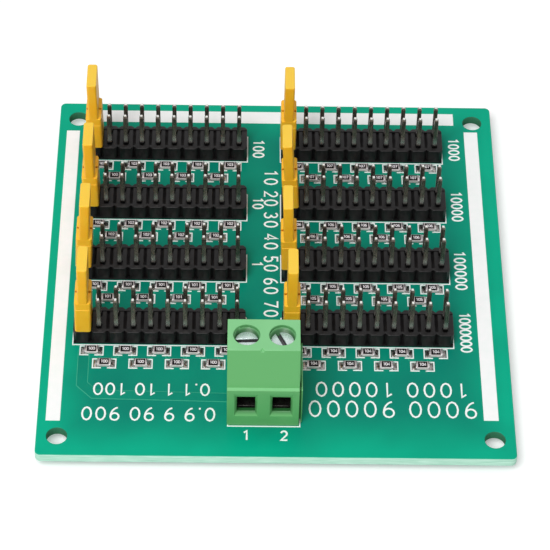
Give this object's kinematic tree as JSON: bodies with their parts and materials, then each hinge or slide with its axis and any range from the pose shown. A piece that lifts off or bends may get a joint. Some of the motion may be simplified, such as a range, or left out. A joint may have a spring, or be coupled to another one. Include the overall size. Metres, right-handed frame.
{
  "type": "programmable resistor board",
  "caption": "Flat board with banks of chip resistors and double-row pin headers, lift-off jumper caps with tall handles, and a screw terminal whose clamps rise as the screws turn.",
  "frame": {"origin": "middle of the four mounting holes, on the underside of the board", "axes": "+X along the headers, +Y away from the screw terminal, +Z out of the side that carries the parts"},
  "size_m": [0.069, 0.0716, 0.0191],
  "materials": {
    "board_laminate": "glossy green solder mask over glass-epoxy laminate",
    "header_plastic": "satin black moulded plastic",
    "pin_metal": "tin-plated, bright satin",
    "cap_plastic": "satin yellow moulded plastic",
    "clip_metal": "bare phosphor bronze",
    "chip_body": "dark resistor film on ceramic",
    "chip_end": "tin-plated, bright",
    "solder": "tin solder, bright",
    "terminal_plastic": "satin light green moulded plastic",
    "screw_metal": "zinc-plated",
    "cage_metal": "nickel-plated",
    "contact_metal": "tin-plated"
  },
  "bodies": {
    "board": {"circuit_board": "board_laminate", "header_0r1": "header_plastic", "header_1r": "header_plastic", "header_10r": "header_plastic", "header_100r": "header_plastic", "header_1meg": "header_plastic", "header_100k": "header_plastic", "header_10k": "header_plastic", "header_1k": "header_plastic", "pins_0r1": "pin_metal", "pins_1r": "pin_metal", "pins_10r": "pin_metal", "pins_100r": "pin_metal", "pins_1meg": "pin_metal", "pins_100k": "pin_metal", "pins_10k": "pin_metal", "pins_1k": "pin_metal", "resistors_0r1": "chip_body", "resistors_1r": "chip_body", "resistors_10r": "chip_body", "resistors_100r": "chip_body", "resistors_1meg": "chip_body", "resistors_100k": "chip_body", "resistors_10k": "chip_body", "resistors_1k": "chip_body", "resistor_ends_0r1": "chip_end", "resistor_ends_1r": "chip_end", "resistor_ends_10r": "chip_end", "resistor_ends_100r": "chip_end", "resistor_ends_1meg": "chip_end", "resistor_ends_100k": "chip_end", "resistor_ends_10k": "chip_end", "resistor_ends_1k": "chip_end", "resistor_solder": "solder", "pin_solder": "solder", "terminal_housing": "terminal_plastic", "terminal_contact_1": "contact_metal", "terminal_contact_2": "contact_metal"},
    "jumper_0r1": {"cap_0r1": "cap_plastic", "clip_0r1": "clip_metal"},
    "jumper_1r": {"cap_1r": "cap_plastic", "clip_1r": "clip_metal"},
    "jumper_10r": {"cap_10r": "cap_plastic", "clip_10r": "clip_metal"},
    "jumper_100r": {"cap_100r": "cap_plastic", "clip_100r": "clip_metal"},
    "jumper_1meg": {"cap_1meg": "cap_plastic", "clip_1meg": "clip_metal"},
    "jumper_100k": {"cap_100k": "cap_plastic", "clip_100k": "clip_metal"},
    "jumper_10k": {"cap_10k": "cap_plastic", "clip_10k": "clip_metal"},
    "jumper_1k": {"cap_1k": "cap_plastic", "clip_1k": "clip_metal"},
    "screw_1": {"terminal_screw_1": "screw_metal"},
    "cage_1": {"terminal_cage_1": "cage_metal"},
    "screw_2": {"terminal_screw_2": "screw_metal"},
    "cage_2": {"terminal_cage_2": "cage_metal"}
  },
  "joints": [
    {"name": "jumper_0r1_lift", "type": "slide", "parent": "board", "child": "jumper_0r1", "axis": [0, 0, 1], "range_m": [0, 0.01]},
    {"name": "jumper_1r_lift", "type": "slide", "parent": "board", "child": "jumper_1r", "axis": [0, 0, 1], "range_m": [0, 0.01]},
    {"name": "jumper_10r_lift", "type": "slide", "parent": "board", "child": "jumper_10r", "axis": [0, 0, 1], "range_m": [0, 0.01]},
    {"name": "jumper_100r_lift", "type": "slide", "parent": "board", "child": "jumper_100r", "axis": [0, 0, 1], "range_m": [0, 0.01]},
    {"name": "jumper_1meg_lift", "type": "slide", "parent": "board", "child": "jumper_1meg", "axis": [0, 0, 1], "range_m": [0, 0.01]},
    {"name": "jumper_100k_lift", "type": "slide", "parent": "board", "child": "jumper_100k", "axis": [0, 0, 1], "range_m": [0, 0.01]},
    {"name": "jumper_10k_lift", "type": "slide", "parent": "board", "child": "jumper_10k", "axis": [0, 0, 1], "range_m": [0, 0.01]},
    {"name": "jumper_1k_lift", "type": "slide", "parent": "board", "child": "jumper_1k", "axis": [0, 0, 1], "range_m": [0, 0.01]},
    {"name": "screw_1_turn", "type": "hinge", "parent": "board", "child": "screw_1", "pos_m": [-0.00439, -0.02465, 0.0141], "axis": [0, 0, 1], "range_deg": [-1944, 0]},
    {"name": "cage_1_rise", "type": "slide", "parent": "board", "child": "cage_1", "axis": [0, 0, 1], "range_m": [0, 0.0027]},
    {"name": "screw_2_turn", "type": "hinge", "parent": "board", "child": "screw_2", "pos_m": [0.00069, -0.02465, 0.0141], "axis": [0, 0, 1], "range_deg": [-1944, 0]},
    {"name": "cage_2_rise", "type": "slide", "parent": "board", "child": "cage_2", "axis": [0, 0, 1], "range_m": [0, 0.0027]}
  ],
  "couplings": [
    {"joint": "screw_1_turn", "follows": "cage_1_rise", "rad_per_m": -12566},
    {"joint": "screw_2_turn", "follows": "cage_2_rise", "rad_per_m": -12566}
  ]
}
